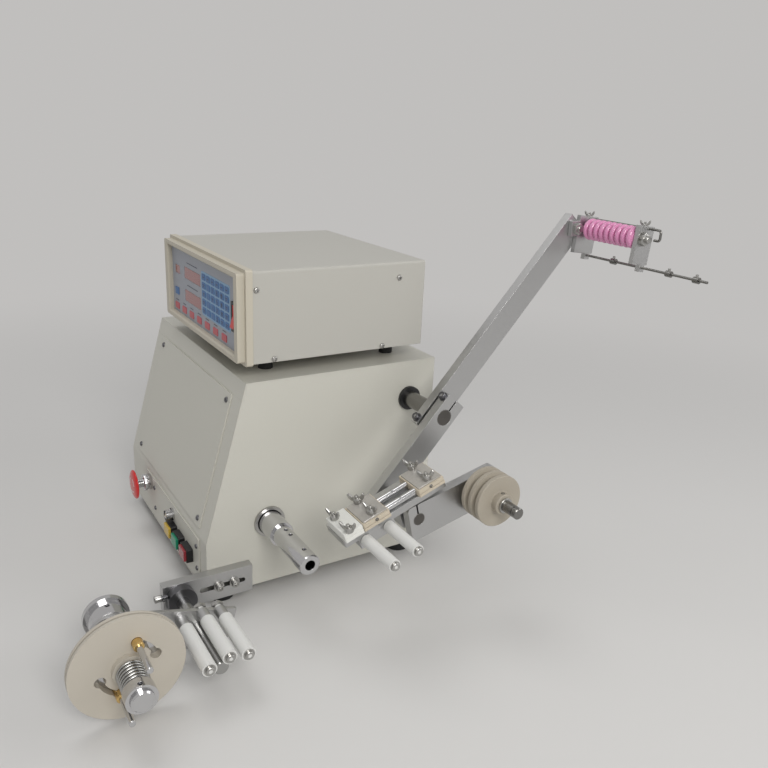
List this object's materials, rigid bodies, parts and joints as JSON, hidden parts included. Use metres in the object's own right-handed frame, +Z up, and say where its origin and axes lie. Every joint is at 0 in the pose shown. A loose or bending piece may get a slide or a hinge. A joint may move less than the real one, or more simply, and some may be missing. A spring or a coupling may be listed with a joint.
{
  "type": "wire coil winding machine",
  "caption": "Bench coil winder with sloped steel base, keypad case, horizontal spindle, traversing wire guide on two clamped bars and a sprung wire brake wheel.",
  "frame": {"origin": "centre of the spindle bore's mouth, on the spindle axis", "axes": "+X along the spindle axis, out of the machine's right side; +Z up; -Y towards the operator"},
  "size_m": [0.562, 0.6689, 0.4582],
  "materials": {
    "cream_paint": "satin, fine texture",
    "grey_paint": "satin, fine texture",
    "beige_plastic": "matt moulded",
    "panel_foil": "matt foil",
    "black_plastic": "matt",
    "rubber": "matt",
    "red_plastic": "gloss",
    "green_plastic": "gloss",
    "yellow_plastic": "gloss",
    "chrome": "polished",
    "ground_steel": "ground",
    "dark_steel": "blued, ground",
    "aluminium": "milled and anodised",
    "zinc_steel": "zinc plated",
    "white_nylon": "turned nylon",
    "beige_laminate": "turned laminate",
    "pink_plastic": "gloss ceramic",
    "belt_rubber": "matt",
    "circuit": "lacquered",
    "cast_housing": "painted"
  },
  "bodies": {
    "machine": {"base_chassis": "cream_paint", "top_cover": "cream_paint", "rear_panel": "cream_paint", "access_panel": "cream_paint", "switch_panel": "cream_paint", "panel_screws": "chrome", "rubber_feet": "rubber", "spindle_housing": "zinc_steel", "spindle_bearings": "ground_steel", "drive_motor": "cast_housing", "drive_belt": "belt_rubber", "traverse_motor": "cast_housing", "traverse_bush": "black_plastic", "electronics": "circuit", "switch_bodies": "black_plastic", "estop_collar": "chrome", "foot_switch_socket": "chrome", "power_inlet": "black_plastic", "case_cover": "grey_paint", "case_base": "grey_paint", "bezel": "beige_plastic", "keypad_panel": "panel_foil", "rocker_frame": "black_plastic"},
    "spindle": {"spindle_shaft": "chrome", "spindle_pulley": "aluminium"},
    "motor_rotor": {"motor_pulley": "aluminium"},
    "traverse": {"traverse_shaft": "ground_steel"},
    "screw": {"lead_screw": "ground_steel"},
    "upper_guide": {"upper_arm": "aluminium"},
    "head": {"head_plates": "aluminium", "head_rods": "zinc_steel"},
    "wire_wheels": {"tension_wheels": "pink_plastic"},
    "lower_guide": {"lower_bar": "aluminium", "pivot_shaft": "ground_steel"},
    "tray": {"guide_tray": "aluminium", "tray_blocks": "aluminium", "guide_rods": "chrome", "guide_blocks": "white_nylon", "wing_screws": "zinc_steel"},
    "tray_roller_1": {"guide_roller_1": "white_nylon"},
    "tray_roller_2": {"guide_roller_2": "white_nylon"},
    "wheel_carrier": {"wheel_arm": "aluminium"},
    "two_groove_wheel": {"grooved_wheel": "beige_laminate"},
    "brake_carrier": {"brake_bar": "aluminium", "brake_shaft": "ground_steel", "brake_clamp": "dark_steel"},
    "brake_swing": {"brake_plate": "aluminium", "brake_hub": "chrome"},
    "feed_roller_1": {"brake_roller_1": "white_nylon"},
    "feed_roller_2": {"brake_roller_2": "white_nylon"},
    "feed_roller_3": {"brake_roller_3": "white_nylon"},
    "brake_wheel": {"brake_disc": "beige_laminate", "disc_shaft": "chrome", "brake_spring": "ground_steel"},
    "spring_collar": {"brake_collar": "chrome"},
    "stop_switch": {"estop_button": "red_plastic"},
    "red_button": {"button_red": "red_plastic"},
    "green_button": {"button_green": "green_plastic"},
    "yellow_button": {"button_yellow": "yellow_plastic"},
    "rocker": {"rocker_switch": "red_plastic"}
  },
  "joints": [
    {"name": "spindle_spin", "type": "hinge", "parent": "machine", "child": "spindle", "pos_m": [0, 0, 0], "axis": [1, 0, 0], "continuous": true},
    {"name": "motor_spin", "type": "hinge", "parent": "machine", "child": "motor_rotor", "pos_m": [-0.235, 0.1, -0.022], "axis": [1, 0, 0], "continuous": true},
    {"name": "traverse_slide", "type": "slide", "parent": "machine", "child": "traverse", "axis": [1, 0, 0], "range_m": [-0.04, 0.06]},
    {"name": "screw_spin", "type": "hinge", "parent": "machine", "child": "screw", "pos_m": [-0.3, 0.1895, 0.092], "axis": [1, 0, 0], "range_deg": [-2900, 4340]},
    {"name": "upper_arm_tilt", "type": "hinge", "parent": "traverse", "child": "upper_guide", "pos_m": [-0.0545, 0.1895, 0.1277], "axis": [1, 0, 0], "range_deg": [-40, 60]},
    {"name": "head_tilt", "type": "hinge", "parent": "upper_guide", "child": "head", "pos_m": [-0.0545, 0.37835, 0.34115], "axis": [1, 0, 0], "range_deg": [-30, 30]},
    {"name": "wire_wheels_spin", "type": "hinge", "parent": "head", "child": "wire_wheels", "pos_m": [0, 0.3945, 0.341], "axis": [1, 0, 0], "continuous": true},
    {"name": "lower_bar_tilt", "type": "hinge", "parent": "traverse", "child": "lower_guide", "pos_m": [-0.0385, 0.1895, 0.1277], "axis": [1, 0, 0], "range_deg": [-20, 20]},
    {"name": "tray_tilt", "type": "hinge", "parent": "lower_guide", "child": "tray", "pos_m": [0.006, 0.11549, 0.04404], "axis": [1, 0, 0], "range_deg": [-6, 15]},
    {"name": "tray_roller_1_spin", "type": "hinge", "parent": "tray", "child": "tray_roller_1", "pos_m": [0.06, 0.04734, 0.0377], "axis": [1, 0, 0], "continuous": true},
    {"name": "tray_roller_2_spin", "type": "hinge", "parent": "tray", "child": "tray_roller_2", "pos_m": [0.06, 0.07445, 0.04741], "axis": [1, 0, 0], "continuous": true},
    {"name": "wheel_arm_tilt", "type": "hinge", "parent": "lower_guide", "child": "wheel_carrier", "pos_m": [0.028, 0.11549, 0.04404], "axis": [1, 0, 0], "range_deg": [-40, 2]},
    {"name": "grooved_wheel_spin", "type": "hinge", "parent": "wheel_carrier", "child": "two_groove_wheel", "pos_m": [0.053, 0.19586, 0.06436], "axis": [1, 0, 0], "continuous": true},
    {"name": "brake_bar_slide", "type": "slide", "parent": "machine", "child": "brake_carrier", "axis": [0, 1, 0], "range_m": [-0.01, 0.019]},
    {"name": "brake_plate_tilt", "type": "hinge", "parent": "brake_carrier", "child": "brake_swing", "pos_m": [-0.0375, -0.1145, -0.063], "axis": [1, 0, 0], "range_deg": [-15, 3]},
    {"name": "feed_roller_1_spin", "type": "hinge", "parent": "brake_swing", "child": "feed_roller_1", "pos_m": [0.01, -0.1317, -0.0483], "axis": [1, 0, 0], "continuous": true},
    {"name": "feed_roller_2_spin", "type": "hinge", "parent": "brake_swing", "child": "feed_roller_2", "pos_m": [0.01, -0.1093, -0.0455], "axis": [1, 0, 0], "continuous": true},
    {"name": "feed_roller_3_spin", "type": "hinge", "parent": "brake_swing", "child": "feed_roller_3", "pos_m": [0.01, -0.0897, -0.049], "axis": [1, 0, 0], "continuous": true},
    {"name": "brake_wheel_spin", "type": "hinge", "parent": "brake_swing", "child": "brake_wheel", "pos_m": [0.02, -0.2009, -0.0388], "axis": [1, 0, 0], "continuous": true},
    {"name": "collar_slide", "type": "slide", "parent": "brake_wheel", "child": "spring_collar", "axis": [1, 0, 0], "range_m": [-0.008, 0.003], "deforming": ["brake_spring"]},
    {"name": "stop_switch_push", "type": "slide", "parent": "machine", "child": "stop_switch", "axis": [0, 1, 0], "range_m": [0, 0.0035], "stiffness_N_per_m": 800},
    {"name": "red_button_push", "type": "slide", "parent": "machine", "child": "red_button", "axis": [0, 1, 0], "range_m": [0, 0.0025], "stiffness_N_per_m": 300},
    {"name": "green_button_push", "type": "slide", "parent": "machine", "child": "green_button", "axis": [0, 1, 0], "range_m": [0, 0.0025], "stiffness_N_per_m": 300},
    {"name": "yellow_button_push", "type": "slide", "parent": "machine", "child": "yellow_button", "axis": [0, 1, 0], "range_m": [0, 0.0025], "stiffness_N_per_m": 300},
    {"name": "rocker_tilt", "type": "hinge", "parent": "machine", "child": "rocker", "pos_m": [-0.1355, -0.026, 0.245], "axis": [1, 0, 0], "range_deg": [0, 16]}
  ],
  "couplings": [
    {"joint": "motor_spin", "follows": "spindle_spin", "ratio": 2},
    {"joint": "screw_spin", "follows": "traverse_slide", "rad_per_m": 1256.6}
  ]
}
